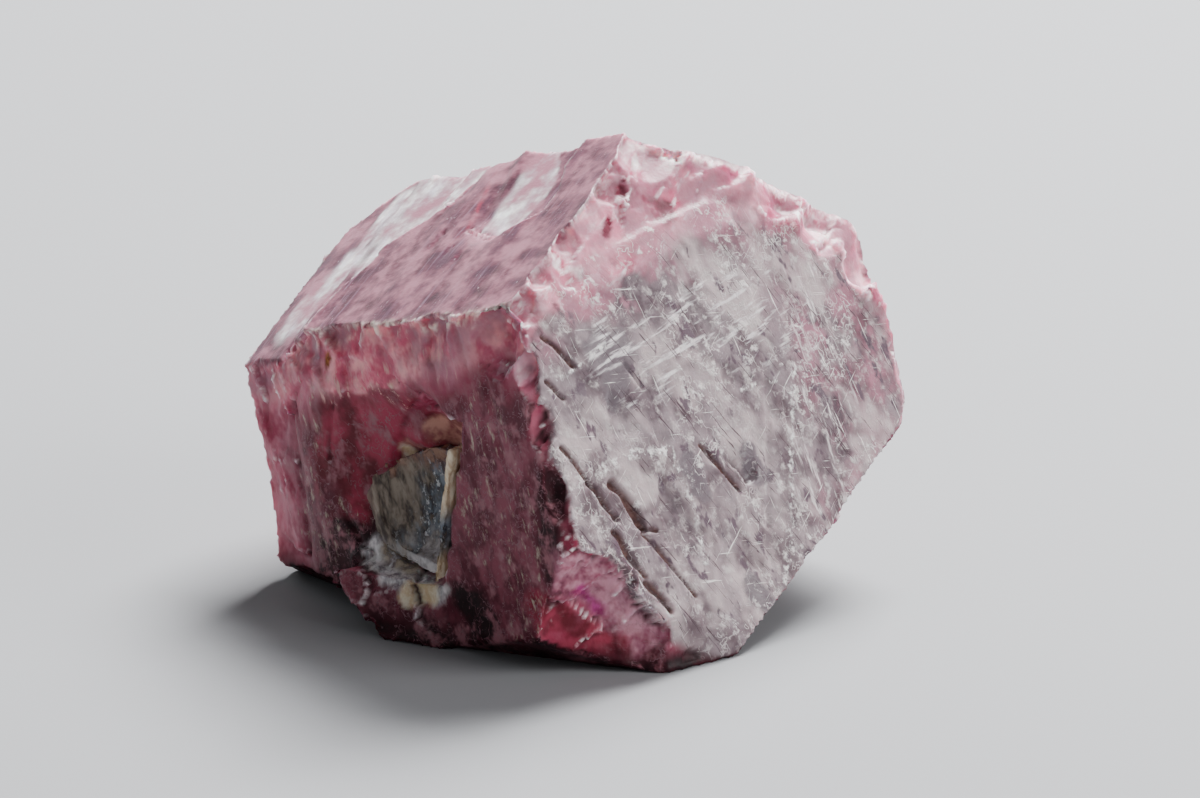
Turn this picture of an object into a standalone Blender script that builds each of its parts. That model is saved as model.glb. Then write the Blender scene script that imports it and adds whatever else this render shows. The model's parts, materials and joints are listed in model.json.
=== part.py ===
"""Raw ruby crystal: a stubby six-sided corundum prism, broken and weathered, lying on one side.

Lengths are named in millimetres and become metres through MM.

The crystal's own frame has Z along its long axis, out of the flat end face, Y out of the front side
face and X up along the end face. Its origin is the middle of the crystal. A direction in that frame
is an angle about Z, counted from X, and a lift towards Z. The finished crystal is turned from that
frame into the one where it lies on the ground.
"""
import math
import random

import bmesh
import bpy
from mathutils import Matrix, Vector

MM = 0.001
FINE = 1e-8
BEYOND = 12.0

# How the crystal lies: where its long axis points, and its roll about that axis.
AXIS_AZIMUTH = -45.5
AXIS_RISE = 19.9
ROLL = 0.7

# The flat end face and the broken rear face.
END_DISTANCE = 4.5
REAR_FACE = (45.0, -82.0, 7.25)

# The six side faces: angle about the axis, taper towards the end face, distance from the axis.
SIDE_FACES = {
    "top": (30.0, 2.3, 5.38),
    "front": (90.0, 0.0, 5.15),
    "under_front": (150.0, -3.0, 6.80),
    "under_right": (210.0, 0.0, 5.55),
    "back": (270.0, 1.0, 7.35),
    "back_top": (330.0, 0.5, 6.02),
}

# Broken facets that bound the prism: direction faced and distance from the middle.
FRACTURES = {
    "band": (9.0, 76.0, 5.17),
    "band_right": (350.0, 76.5, 5.30),
    "front_edge": (93.5, 47.0, 6.66),
    "lower_lip": (151.0, 72.8, 5.98),
    "right_slope": (288.0, 87.5, 4.62),
    "right_corner": (316.0, 56.0, 7.25),
    "right_edge": (243.0, 30.0, 8.45),
    "left_rim": (88.0, -10.5, 5.80),
    "rear_top": (335.0, -42.0, 8.2),
    "rear_back": (285.0, -44.0, 8.4),
    "rear_low": (213.0, -40.0, 7.6),
}

# The facet that the crystal rests on is level, this far under the middle.
REST_DEPTH = 4.78

# Under the left end the front side has broken back over the ground: a plane through one point of
# the resting crystal, which stops at the ledge.
UNDERCUT_AZIMUTH = -138.0
UNDERCUT_FALL = -58.0
UNDERCUT_POINT = (-6.55, -0.75, -4.14)
UNDERCUT_STOP = -1.0

# The ledge under the hollow: a block with these faces, standing a little proud of the front face.
LEDGE_MIDDLE = (-4.1, 4.4, -2.05)
LEDGE_SIZE = (3.4, 4.0, 3.0)
LEDGE_FACES = {
    "top": (14.6, 24.9, -1.95),
    "front": (84.0, 24.0, 4.12),
    "left": (154.6, -59.8, 5.30),
    "lower_left": (162.5, -45.0, 5.74),
}

# The hollow in the front face: a wide shallow dish and a deeper trough in it, each a part of an
# ellipsoid, with one steep wall, the seam wall.
DISH_MIDDLE = (-0.35, 8.15, -1.6)
DISH_RADII = (4.35, 3.75, 3.7)
TROUGH_MIDDLE = (-1.0, 6.4, -0.35)
TROUGH_RADII = (2.6, 2.9, 2.75)
SEAM_WALL_ANGLE = 28.3
SEAM_WALL_POINT = (0.38, 5.15, 1.58)

# Growth terraces of the top face: outlines in across and along values, depth, fall in degrees.
TERRACES = {
    "upper": ([(-0.3, 0.85), (-0.55, 1.35), (-1.1, 2.0), (-1.9, 2.0), (-2.9, 1.55), (-7.0, 1.5),
               (-7.0, -1.6), (-3.2, -1.2), (-0.9, -0.5)], 0.22, -4.2),
    "middle": ([(3.0, -4.25), (0.9, -4.0), (-0.1, -3.6), (-0.7, -3.7), (-1.5, -2.6), (-2.3, -2.15),
                (-3.4, -2.1), (-7.0, -2.3), (-7.0, -12.0), (3.6, -12.0)], 0.40, 2.6),
    "lower": ([(3.2, -5.0), (0.9, -4.8), (-0.2, -4.35), (-1.3, -3.5), (-3.0, -3.1), (-7.0, -3.2),
               (-7.0, -12.0), (3.6, -12.0)], 0.72, 5.0),
}
RISER_SLANT = 1.5

# Shell-shaped scars: middle, direction faced, radius of the curve, depth, turn of their long way.
SCARS = {
    "spot_chip": ((-4.45, 4.45, 3.95), (142.0, 46.0), 5.2, 0.52, 60.0),
    "band_notch": ((5.15, 0.75, 4.15), (5.0, 52.0), 1.5, 0.34, 20.0),
    "band_shell_1": ((4.75, 1.5, 4.2), (24.0, 66.0), 2.3, 0.20, 70.0),
    "band_shell_2": ((4.05, 2.4, 4.25), (52.0, 60.0), 1.6, 0.26, 10.0),
    "band_shell_3": ((3.55, 3.5, 4.3), (20.0, 60.0), 1.9, 0.20, 110.0),
    "band_shell_4": ((2.95, 4.5, 4.4), (50.0, 55.0), 1.4, 0.24, 35.0),
    "band_shell_5": ((5.9, -0.9, 3.9), (358.0, 62.0), 3.4, 0.26, 90.0),
    "band_shell_6": ((5.0, -2.7, 4.1), (338.0, 64.0), 2.6, 0.24, 60.0),
    "corner_shell_1": ((3.7, -4.5, 4.1), (330.0, 55.0), 1.7, 0.26, 15.0),
    "corner_shell_2": ((2.9, -5.3, 4.1), (300.0, 60.0), 2.2, 0.24, 80.0),
    "corner_shell_3": ((1.6, -6.5, 4.2), (288.0, 50.0), 1.9, 0.22, 0.0),
    "front_shell_1": ((2.65, 5.15, -1.7), (66.0, -12.0), 1.9, 0.24, 25.0),
    "front_shell_2": ((2.25, 5.2, 0.5), (74.0, 12.0), 2.5, 0.28, 80.0),
    "front_shell_3": ((2.0, 5.15, 2.9), (72.0, 30.0), 1.7, 0.26, 120.0),
    "front_shell_4": ((2.7, 5.05, -3.6), (70.0, -14.0), 1.5, 0.18, 60.0),
    "edge_shell_1": ((1.5, 4.95, 4.3), (86.0, 44.0), 1.5, 0.22, 0.0),
    "edge_shell_2": ((0.1, 4.95, 4.3), (100.0, 52.0), 1.1, 0.20, 75.0),
    "edge_shell_3": ((-1.8, 5.0, 4.3), (90.0, 50.0), 1.7, 0.20, 20.0),
    "rear_shell_1": ((1.5, 1.0, -7.07), (40.0, -80.0), 6.5, 0.42, 0.0),
    "rear_shell_2": ((-1.6, -3.4, -7.6), (260.0, -74.0), 5.5, 0.55, 50.0),
    "back_shell": ((1.5, -7.3, -0.5), (275.0, -6.0), 6.0, 0.40, 30.0),
}

# Grooves and pits of the end face, where its parting planes come out: start and end as X and Y.
GROOVES = [
    ((-0.55, 4.60), (-2.55, 3.36), 0.34, 0.20),
    ((-1.70, 3.23), (-2.95, 2.54), 0.34, 0.26),
    ((-2.95, 2.58), (-3.08, 2.15), 0.20, 0.16),
    ((-2.91, 3.58), (-4.13, 2.85), 0.24, 0.16),
    ((-4.30, 2.91), (-5.10, 2.41), 0.26, 0.18),
    ((-3.05, 2.67), (-4.88, 1.47), 0.16, 0.10),
    ((-1.40, 0.18), (-2.72, -0.80), 0.20, 0.14),
    ((2.15, 4.35), (1.35, 3.60), 0.22, 0.16),
    ((1.05, 4.50), (0.60, 4.15), 0.20, 0.14),
    ((1.05, 2.05), (0.35, 1.55), 0.16, 0.08),
    ((0.20, -2.70), (-3.90, -1.50), 0.20, 0.06),
]
PIT_OUTLINE = [(-1.85, -0.34), (-2.15, -1.41), (-2.62, -1.54), (-2.72, -0.84), (-2.30, -0.35)]
PIT_DEPTH = 0.12

# Triangular growth marks of the end face: X, Y, radius, depth. They point along the grooves.
GROWTH_MARKS = [
    (-3.05, 1.60, 1.00, 0.08), (-0.30, 2.60, 0.65, 0.05), (1.30, -0.60, 0.95, 0.05),
    (-1.10, -4.30, 0.60, 0.05), (-4.50, -0.60, 0.50, 0.05),
]
GROWTH_MARK_ANGLE = 33.0
GROWTH_MARK_TILT = 2.5

# Striations: shallow grooves across the side faces, square to the long axis.
STRIATION_WIDTH = 0.22
STRIATION_DEPTH = 0.07
STRIATIONS = {
    "top": [(3.6, -1.2, 2.2), (3.05, -2.8, 1.0), (2.5, -0.2, 2.4), (0.3, 0.2, 2.5), (-0.35, -3.2, 1.1),
            (-1.1, -0.8, 2.4), (-1.9, -1.9, 1.6), (-2.9, -0.9, 2.3)],
    "front": [(2.9, -1.6, 0.6), (2.3, -3.0, -1.2)],
    "back_top": [(2.6, -2.5, 1.5), (1.2, -1.0, 3.0), (-0.6, -3.0, 0.5), (-2.4, -1.0, 2.6), (-3.8, -2.5, 1.5)],
    "back": [(2.4, -2.8, 1.2), (0.4, -0.6, 3.0), (-1.7, -2.5, 2.0), (-3.2, -1.0, 2.5)],
    "under_right": [(2.2, -1.5, 2.5), (0.0, -2.5, 1.0), (-2.0, -1.0, 2.0)],
}

# A bite is a flattened, drawn-out ball of these proportions. A large one is smooth and a small
# one has plane facets.
BITE_SHAPE = (1.0, 0.7, 0.6)
LARGE_BITE = 3.0
BITE_ROLL = 3.7

# Small chips along the edges where two faces meet.
CHIP_SPACING = 1.15
CHIP_RADIUS = (0.35, 1.5)
CHIP_DEPTH = (0.06, 0.17)
CHIP_MIN_ANGLE = 24.0
SEED = 41

# The remains of the host rock in the hollow: a crust over its lower part, a thin seam up its wall.
CRUST_GAP = 0.06
CRUST_THICKNESS = 0.34
CRUST_TOP = 0.10
CRUST_LEFT = (0.0, -50.6, 1.5)
CRUST_DEPTH = 0.12
SEAM_THICKNESS = 0.20
SEAM_PROUD = 0.10
SEAM_INSET = 0.01

RUBY_COLOUR = (0.30, 0.035, 0.075, 1.0)
MATRIX_COLOUR = (0.62, 0.56, 0.50, 1.0)


def direction(angle, lift=0.0):
    """Unit vector of the crystal's frame, from an angle about its axis and a lift towards its end."""
    flat = math.cos(math.radians(lift))
    return Vector((flat * math.cos(math.radians(angle)),
                   flat * math.sin(math.radians(angle)),
                   math.sin(math.radians(lift))))


def lying_rotation():
    """Turns the crystal's frame into the one where it lies on the ground."""
    azimuth = math.radians(AXIS_AZIMUTH)
    rise = math.radians(AXIS_RISE)
    end = Vector((math.cos(rise) * math.cos(azimuth), math.cos(rise) * math.sin(azimuth), math.sin(rise)))
    front = Vector((math.sin(azimuth), -math.cos(azimuth), 0.0))
    front.rotate(Matrix.Rotation(math.radians(-ROLL), 3, end))
    up = front.cross(end)
    return Matrix((up, front, end)).transposed()


LYING = lying_rotation()


def clear_scene():
    for item in list(bpy.data.objects):
        bpy.data.objects.remove(item, do_unlink=True)


def collection(name):
    made = bpy.data.collections.new(name)
    bpy.context.scene.collection.children.link(made)
    return made


def cut_away(bm, normal, distance):
    """Removes what lies beyond a plane and closes the cut with one flat face."""
    geometry = bm.verts[:] + bm.edges[:] + bm.faces[:]
    result = bmesh.ops.bisect_plane(
        bm, geom=geometry, dist=FINE, plane_co=normal * distance * MM, plane_no=normal, clear_outer=True)
    rim = [item for item in result["geom_cut"] if isinstance(item, bmesh.types.BMEdge)]
    if rim:
        bmesh.ops.edgenet_fill(bm, edges=rim)


def finished(bm, name, where):
    bmesh.ops.recalc_face_normals(bm, faces=bm.faces)
    mesh = bpy.data.meshes.new(name)
    bm.to_mesh(mesh)
    bm.free()
    made = bpy.data.objects.new(name, mesh)
    where.objects.link(made)
    return made


def down():
    """The direction of the ground, in the crystal's frame."""
    return LYING.inverted() @ Vector((0, 0, -1))


def crystal_block():
    """The six-sided prism, cut by its side faces, its end, its rear and the broken facets."""
    bm = bmesh.new()
    bmesh.ops.create_cone(bm, cap_ends=True, segments=6, radius1=14 * MM, radius2=14 * MM, depth=30 * MM)
    cut_away(bm, Vector((0, 0, 1)), END_DISTANCE)
    cut_away(bm, direction(REAR_FACE[0], REAR_FACE[1]), REAR_FACE[2])
    for angle, lift, distance in [*SIDE_FACES.values(), *FRACTURES.values()]:
        cut_away(bm, direction(angle, lift), distance)
    cut_away(bm, down(), REST_DEPTH)
    return bm


def undercut_wedge():
    """What is missing under the left end, as a block beyond the undercut plane."""
    azimuth = math.radians(UNDERCUT_AZIMUTH)
    fall = math.radians(UNDERCUT_FALL)
    outward = Vector((math.cos(fall) * math.cos(azimuth), math.cos(fall) * math.sin(azimuth), math.sin(fall)))
    normal = LYING.inverted() @ outward
    bm = bmesh.new()
    bmesh.ops.create_cube(bm, size=2 * BEYOND * MM)
    cut_away(bm, -normal, -outward.dot(Vector(UNDERCUT_POINT)))
    cut_away(bm, Vector((0, 0, 1)), UNDERCUT_STOP)
    return bm


def ledge_block():
    bm = bmesh.new()
    bmesh.ops.create_cube(bm, size=1.0)
    bmesh.ops.scale(bm, verts=bm.verts, vec=Vector(LEDGE_SIZE) * MM)
    bmesh.ops.translate(bm, verts=bm.verts, vec=Vector(LEDGE_MIDDLE) * MM)
    for angle, lift, distance in LEDGE_FACES.values():
        cut_away(bm, direction(angle, lift), distance)
    cut_away(bm, down(), REST_DEPTH)
    return bm


def hollow_part(middle, radii, shrink=0.0):
    """An ellipsoid cut off by the seam wall and by the ledge, drawn in all round by shrink."""
    bm = bmesh.new()
    bmesh.ops.create_uvsphere(bm, u_segments=28, v_segments=16, radius=MM)
    bmesh.ops.scale(bm, verts=bm.verts, vec=[radius - shrink for radius in radii])
    bmesh.ops.translate(bm, verts=bm.verts, vec=Vector(middle) * MM)
    wall = seam_wall_normal()
    cut_away(bm, wall, wall.dot(Vector(SEAM_WALL_POINT)) - shrink)
    angle, lift, distance = LEDGE_FACES["top"]
    cut_away(bm, -direction(angle, lift), -distance - shrink)
    return bm


def hollow_trough(shrink=0.0):
    return hollow_part(TROUGH_MIDDLE, TROUGH_RADII, shrink)


def seam_wall_normal():
    slope = math.radians(SEAM_WALL_ANGLE)
    return Vector((-math.sin(slope), 0, math.cos(slope)))


def side_point(face, across, along, out=0.0):
    """A point of a side face, from its place across and along the face and how far it stands out."""
    angle, taper, distance = SIDE_FACES[face]
    sideways = direction(angle + 90)
    lengthwise = sideways.cross(direction(angle, taper))
    return direction(angle, taper) * (distance + out) - lengthwise * along + sideways * across


def terrace(face, outline, depth, fall):
    """What a growth step has left out of a side face: a slab whose riser slants."""
    bm = bmesh.new()
    corners = [bm.verts.new(side_point(face, across, along, -depth) * MM) for across, along in outline]
    floor = bm.faces.new(corners)
    angle, taper, distance = SIDE_FACES[face]
    hinge = side_point(face, outline[0][0], outline[0][1], -depth) * MM
    tilt = Matrix.Rotation(math.radians(fall), 3, direction(angle + 90))
    bmesh.ops.rotate(bm, verts=bm.verts, cent=hinge, matrix=tilt)
    grown = bmesh.ops.extrude_face_region(bm, geom=[floor])
    raised = [item for item in grown["geom"] if isinstance(item, bmesh.types.BMVert)]
    rise = (direction(angle, taper) + direction(0, 90) * RISER_SLANT) * 3 * MM
    bmesh.ops.translate(bm, verts=raised, vec=rise)
    return bm


def shell_bite(middle, outward, radius, depth, turn):
    """A flattened, drawn-out ball that takes a shell-shaped bite, as deep as given."""
    bm = bmesh.new()
    bmesh.ops.create_icosphere(bm, subdivisions=3 if radius > LARGE_BITE else 1, radius=MM)
    bmesh.ops.rotate(bm, verts=bm.verts, matrix=Matrix.Rotation(turn * BITE_ROLL, 3, "X"))
    bmesh.ops.scale(bm, verts=bm.verts, vec=Vector(BITE_SHAPE) * radius)
    bmesh.ops.rotate(bm, verts=bm.verts, matrix=Matrix.Rotation(turn, 3, "Z"))
    bmesh.ops.rotate(bm, verts=bm.verts, matrix=outward.to_track_quat("Z", "Y").to_matrix())
    centre = middle + outward * (radius * BITE_SHAPE[2] - depth)
    bmesh.ops.translate(bm, verts=bm.verts, vec=centre * MM)
    return bm


def groove(start, end, normal, width, depth):
    """A bar with a square section on edge, which leaves a V-shaped groove between two points."""
    bm = bmesh.new()
    run = end - start
    bmesh.ops.create_cube(bm, size=1.0)
    bmesh.ops.rotate(bm, verts=bm.verts, matrix=Matrix.Rotation(math.radians(45), 3, "X"))
    half_diagonal = math.sqrt(0.5)
    size = Vector((run.length, width / 2 / half_diagonal, depth / half_diagonal))
    bmesh.ops.scale(bm, verts=bm.verts, vec=size * MM)
    lengthwise = run.normalized()
    turn = Matrix((lengthwise, normal.cross(lengthwise), normal)).transposed()
    bmesh.ops.rotate(bm, verts=bm.verts, matrix=turn)
    bmesh.ops.translate(bm, verts=bm.verts, vec=(start + end) / 2 * MM)
    return bm


def pit(outline, depth):
    bm = bmesh.new()
    corners = [bm.verts.new(Vector((x, y, END_DISTANCE - depth)) * MM) for x, y in outline]
    floor = bm.faces.new(corners)
    grown = bmesh.ops.extrude_face_region(bm, geom=[floor])
    raised = [item for item in grown["geom"] if isinstance(item, bmesh.types.BMVert)]
    bmesh.ops.translate(bm, verts=raised, vec=Vector((0, 0, 1)) * MM)
    return bm


def growth_mark(x, y, radius, depth):
    """A shallow three-sided pit with slanting sides."""
    bm = bmesh.new()
    bmesh.ops.create_cone(bm, cap_ends=True, segments=3, radius1=radius * MM, radius2=radius * 1.5 * MM,
                          depth=2 * depth * MM)
    bmesh.ops.rotate(bm, verts=bm.verts, matrix=Matrix.Rotation(math.radians(GROWTH_MARK_ANGLE), 3, "Z"))
    bmesh.ops.rotate(bm, verts=bm.verts, matrix=Matrix.Rotation(math.radians(GROWTH_MARK_TILT), 3, "Y"))
    bmesh.ops.translate(bm, verts=bm.verts, vec=Vector((x, y, END_DISTANCE)) * MM)
    return bm


def inside(point, planes):
    return all(point.dot(normal) < distance for normal, distance in planes)


def edge_chips(bm, elsewhere, rng):
    """Bites spaced along the sharper edges of a block, where they aren't buried in the other block."""
    chips = []
    ground = down()
    for edge in bm.edges:
        if math.degrees(edge.calc_face_angle()) < CHIP_MIN_ANGLE:
            continue
        if any(face.normal.dot(ground) > 0.99 for face in edge.link_faces):
            continue
        near, far = (vertex.co / MM for vertex in edge.verts)
        outward = (edge.link_faces[0].normal + edge.link_faces[1].normal).normalized()
        count = int((far - near).length / CHIP_SPACING)
        for step in range(count):
            middle = near.lerp(far, (step + rng.uniform(0.2, 0.8)) / count)
            radius = rng.uniform(*CHIP_RADIUS)
            depth = rng.uniform(*CHIP_DEPTH)
            turn = rng.uniform(0, math.pi)
            if not inside(middle - outward * depth, elsewhere):
                chips.append(shell_bite(middle, outward, radius, depth, turn))
    return chips


def cut(body, operation, tool):
    """A Boolean step, with one tool or with a whole collection of them."""
    step = body.modifiers.new(operation.lower(), "BOOLEAN")
    step.operation = operation
    step.solver = "EXACT"
    if isinstance(tool, bpy.types.Collection):
        step.operand_type = "COLLECTION"
        step.collection = tool
    else:
        step.object = tool


def block_planes(faces):
    return [(direction(angle, lift), distance) for angle, lift, distance in faces]


def crystal():
    """The crystal: its block, the undercut and the ledge, and everything that bites into them."""
    rng = random.Random(SEED)
    block = crystal_block()
    ledge = ledge_block()
    for bm in (block, ledge):
        bmesh.ops.recalc_face_normals(bm, faces=bm.faces)
        bm.normal_update()
    marks = {"hollow_trough": hollow_trough(), "hollow_dish": hollow_part(DISH_MIDDLE, DISH_RADII)}
    for name, (outline, depth, fall) in TERRACES.items():
        marks["terrace_" + name] = terrace("top", outline, depth, fall)
    for name, (middle, facing, radius, depth, turn) in SCARS.items():
        outward = direction(*facing)
        marks[name] = shell_bite(Vector(middle), outward, radius, depth, math.radians(turn))
    end = direction(0, 90)
    for number, (start, stop, width, depth) in enumerate(GROOVES):
        ends = [Vector((x, y, END_DISTANCE)) for x, y in (start, stop)]
        marks[f"groove_{number}"] = groove(*ends, end, width, depth)
    marks["pit"] = pit(PIT_OUTLINE, PIT_DEPTH)
    for number, mark in enumerate(GROWTH_MARKS):
        marks[f"growth_mark_{number}"] = growth_mark(*mark)
    for face, lines in STRIATIONS.items():
        normal = direction(*SIDE_FACES[face][:2])
        for number, (along, left, right) in enumerate(lines):
            ends = [side_point(face, across, along) for across in (left, right)]
            marks[f"striation_{face}_{number}"] = groove(*ends, normal, STRIATION_WIDTH, STRIATION_DEPTH)
    block_sides = block_planes([*SIDE_FACES.values(), *FRACTURES.values()])
    ledge_sides = block_planes(LEDGE_FACES.values())
    chips = edge_chips(block, ledge_sides, rng) + edge_chips(ledge, block_sides, rng)
    for number, chip in enumerate(chips):
        marks[f"chip_{number}"] = chip

    body = finished(block, "ruby_crystal", parts)
    for name, bm in marks.items():
        finished(bm, name, bites)
    cut(body, "DIFFERENCE", finished(undercut_wedge(), "undercut", cutters))
    cut(body, "UNION", finished(ledge, "ledge", cutters))
    cut(body, "DIFFERENCE", bites)
    return body


def matrix_crust():
    """Host rock left in the hollow: a shell over its walls and floor, and the seam up one wall."""
    front = direction(SIDE_FACES["front"][0])
    front_distance = SIDE_FACES["front"][2]
    lining = hollow_trough(CRUST_GAP)
    cut_away(lining, direction(0), CRUST_TOP)
    cut_away(lining, front, front_distance - CRUST_DEPTH)
    cut_away(lining, direction(*CRUST_LEFT[:2]), CRUST_LEFT[2])
    seam = hollow_trough(CRUST_GAP + SEAM_INSET)
    wall = seam_wall_normal()
    wall_distance = wall.dot(Vector(SEAM_WALL_POINT))
    cut_away(seam, -wall, -(wall_distance - CRUST_GAP - SEAM_THICKNESS))
    cut_away(seam, front, front_distance + SEAM_PROUD)
    body = finished(lining, "matrix_seam", parts)
    cut(body, "DIFFERENCE", finished(hollow_trough(CRUST_GAP + CRUST_THICKNESS), "crust_inside", cutters))
    cut(body, "UNION", finished(seam, "seam", cutters))
    return body


def set_down(pieces, tools):
    """Turns everything as the crystal lies, and stands its box centred over the origin."""
    for item in pieces + tools:
        item.data.transform(LYING.to_4x4())
    graph = bpy.context.evaluated_depsgraph_get()
    points = [vertex.co for piece in pieces for vertex in piece.evaluated_get(graph).data.vertices]
    low = Vector(min(point[axis] for point in points) for axis in range(3))
    high = Vector(max(point[axis] for point in points) for axis in range(3))
    shift = Vector((-(low.x + high.x) / 2, -(low.y + high.y) / 2, -low.z))
    for item in pieces + tools:
        item.data.transform(Matrix.Translation(shift))
    return shift


def material(name, colour, roughness):
    made = bpy.data.materials.new(name)
    made.use_nodes = True
    shader = made.node_tree.nodes["Principled BSDF"]
    shader.inputs["Base Color"].default_value = colour
    shader.inputs["Roughness"].default_value = roughness
    return made


clear_scene()
parts = collection("raw_ruby_crystal")
cutters = collection("cutters")
bites = collection("bites")
ruby = crystal()
ruby.data.materials.append(material("ruby", RUBY_COLOUR, 0.35))
matrix = matrix_crust()
matrix.data.materials.append(material("host_rock", MATRIX_COLOUR, 0.75))
tools = [*cutters.objects, *bites.objects]
for tool in tools:
    tool.hide_render = True
    tool.display_type = "WIRE"
ground_shift = set_down([ruby, matrix], tools)
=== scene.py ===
import json
import math
import random

import bmesh
import bpy
import numpy as np
from mathutils import Matrix, Vector
from mathutils.bvhtree import BVHTree

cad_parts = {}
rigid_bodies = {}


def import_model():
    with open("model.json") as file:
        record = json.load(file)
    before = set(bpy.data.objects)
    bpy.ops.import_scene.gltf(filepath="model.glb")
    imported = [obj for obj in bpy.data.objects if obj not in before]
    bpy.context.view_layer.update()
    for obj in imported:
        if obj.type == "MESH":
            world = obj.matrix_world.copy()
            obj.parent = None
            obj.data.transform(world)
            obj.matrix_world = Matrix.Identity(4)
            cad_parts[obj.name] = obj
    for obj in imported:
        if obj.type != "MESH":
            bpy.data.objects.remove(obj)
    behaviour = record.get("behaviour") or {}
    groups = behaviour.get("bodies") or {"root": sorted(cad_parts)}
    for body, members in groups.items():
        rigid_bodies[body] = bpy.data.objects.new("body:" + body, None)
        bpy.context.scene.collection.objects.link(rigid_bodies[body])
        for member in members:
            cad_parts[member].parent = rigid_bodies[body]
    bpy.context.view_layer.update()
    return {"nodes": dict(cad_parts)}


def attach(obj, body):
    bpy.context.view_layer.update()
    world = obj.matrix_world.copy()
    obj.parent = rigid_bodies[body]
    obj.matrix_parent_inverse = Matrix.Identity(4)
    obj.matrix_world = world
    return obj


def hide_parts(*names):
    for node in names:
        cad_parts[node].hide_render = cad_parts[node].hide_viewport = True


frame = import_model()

# ---------------------------------------------------------------------------------------------
# The ruby crystal
# One body of corundum that grew as a stubby six-sided prism and was broken and worn afterwards.
# The end face and the top face keep their natural skin; the edges, the front and the underside
# are broken. Its skin is made from the solid, given an even fine mesh and then its relief.
# ---------------------------------------------------------------------------------------------

MM = 0.001

# How the crystal lies: where its long axis points, its roll about that axis, and its middle.
AXIS_AZIMUTH = -45.5
AXIS_RISE = 19.9
ROLL = 0.7
MIDDLE = (-0.0921, -0.6912, 4.7800)

# The crystal's faces, as in the solid: angle about the long axis, lift towards the end, distance.
END_DISTANCE = 4.5
FACES = {
    "end": (0.0, 90.0, END_DISTANCE),
    "top": (30.0, 2.3, 5.38),
    "front": (90.0, 0.0, 5.15),
    "under_front": (150.0, -3.0, 6.80),
    "under_right": (210.0, 0.0, 5.55),
    "back": (270.0, 1.0, 7.35),
    "back_top": (330.0, 0.5, 6.02),
}


def direction(angle, lift=0.0):
    """Unit vector in the crystal's frame, by its angle about the long axis and its lift."""
    flat = math.cos(math.radians(lift))
    return np.array((flat * math.cos(math.radians(angle)),
                     flat * math.sin(math.radians(angle)),
                     math.sin(math.radians(lift))))


def lying_rotation():
    """Turns the crystal's frame into the one where it lies on the ground."""
    azimuth = math.radians(AXIS_AZIMUTH)
    rise = math.radians(AXIS_RISE)
    end = Vector((math.cos(rise) * math.cos(azimuth),
                  math.cos(rise) * math.sin(azimuth),
                  math.sin(rise)))
    front = Vector((math.sin(azimuth), -math.cos(azimuth), 0.0))
    front.rotate(Matrix.Rotation(math.radians(-ROLL), 3, end))
    up = front.cross(end)
    return Matrix((up, front, end)).transposed()


LYING = lying_rotation()
LYING_ARRAY = np.array(LYING)

# Points of a solid that are this near each other become one.
MERGE_DISTANCE = 0.0005


def solid_in_mm(name):
    """A copy of a solid of the frame as one merged surface, in millimetres."""
    bm = bmesh.new()
    bm.from_mesh(frame["nodes"][name].data)
    bmesh.ops.scale(bm, vec=Vector((1, 1, 1)) / MM, verts=bm.verts)
    bmesh.ops.remove_doubles(bm, verts=bm.verts, dist=MERGE_DISTANCE)
    return bm


def evenly_meshed(bm, name, grain):
    """The closed surface again, as an even mesh of small squares, still in millimetres."""
    mesh = bpy.data.meshes.new(name)
    bm.to_mesh(mesh)
    bm.free()
    made = bpy.data.objects.new(name, mesh)
    bpy.context.scene.collection.objects.link(made)
    remesh = made.modifiers.new("even_mesh", "REMESH")
    remesh.mode = "VOXEL"
    remesh.voxel_size = grain
    graph = bpy.context.evaluated_depsgraph_get()
    even = bpy.data.meshes.new_from_object(made.evaluated_get(graph))
    made.modifiers.clear()
    made.data = even
    bpy.data.meshes.remove(mesh)
    even.name = name
    return made


def read_vectors(items, key):
    """All the vectors kept under one key of a mesh's points, as an array."""
    values = np.empty(len(items) * 3, dtype=np.float32)
    items.foreach_get(key, values)
    return values.reshape(-1, 3).astype(np.float64)


def vertex_normals(mesh):
    return read_vectors(mesh.vertex_normals, "vector")


def seen_from_crystal(places):
    """World places, in millimetres, as places in the crystal's frame."""
    return (places - np.array(MIDDLE)) @ LYING_ARRAY


def line_distance(places, points):
    """Distance of each place to a broken line."""
    best = np.full(len(places), 99.0)
    for start, stop in zip(points[:-1], points[1:]):
        start, run = np.array(start), np.array(stop) - np.array(start)
        share = np.clip((places - start) @ run / (run @ run), 0, 1)
        best = np.minimum(best, np.linalg.norm(places - start - share[:, None] * run, axis=1))
    return best


# Where the crystal's parting planes come out on its end face: start, end, width and depth.
PARTINGS = [
    ((-0.55, 4.60), (-1.55, 3.90), 0.22, 0.12),
    ((-1.45, 4.00), (-2.55, 3.36), 0.30, 0.20),
    ((-1.70, 3.23), (-2.95, 2.54), 0.32, 0.26),
    ((-2.95, 2.58), (-3.08, 2.15), 0.18, 0.14),
    ((-2.91, 3.58), (-4.13, 2.85), 0.24, 0.17),
    ((-4.30, 2.91), (-5.10, 2.41), 0.24, 0.18),
    ((-3.05, 2.67), (-4.88, 1.47), 0.15, 0.12),
    ((-1.40, 0.18), (-2.72, -0.80), 0.18, 0.14),
    ((2.15, 4.35), (1.35, 3.60), 0.20, 0.16),
    ((1.05, 4.50), (0.60, 4.15), 0.18, 0.12),
    ((1.05, 2.05), (0.35, 1.55), 0.14, 0.08),
]
PARTING_REACH = 0.32
# Points this near the end face's plane count as lying at it.
AT_END = 0.4

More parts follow.
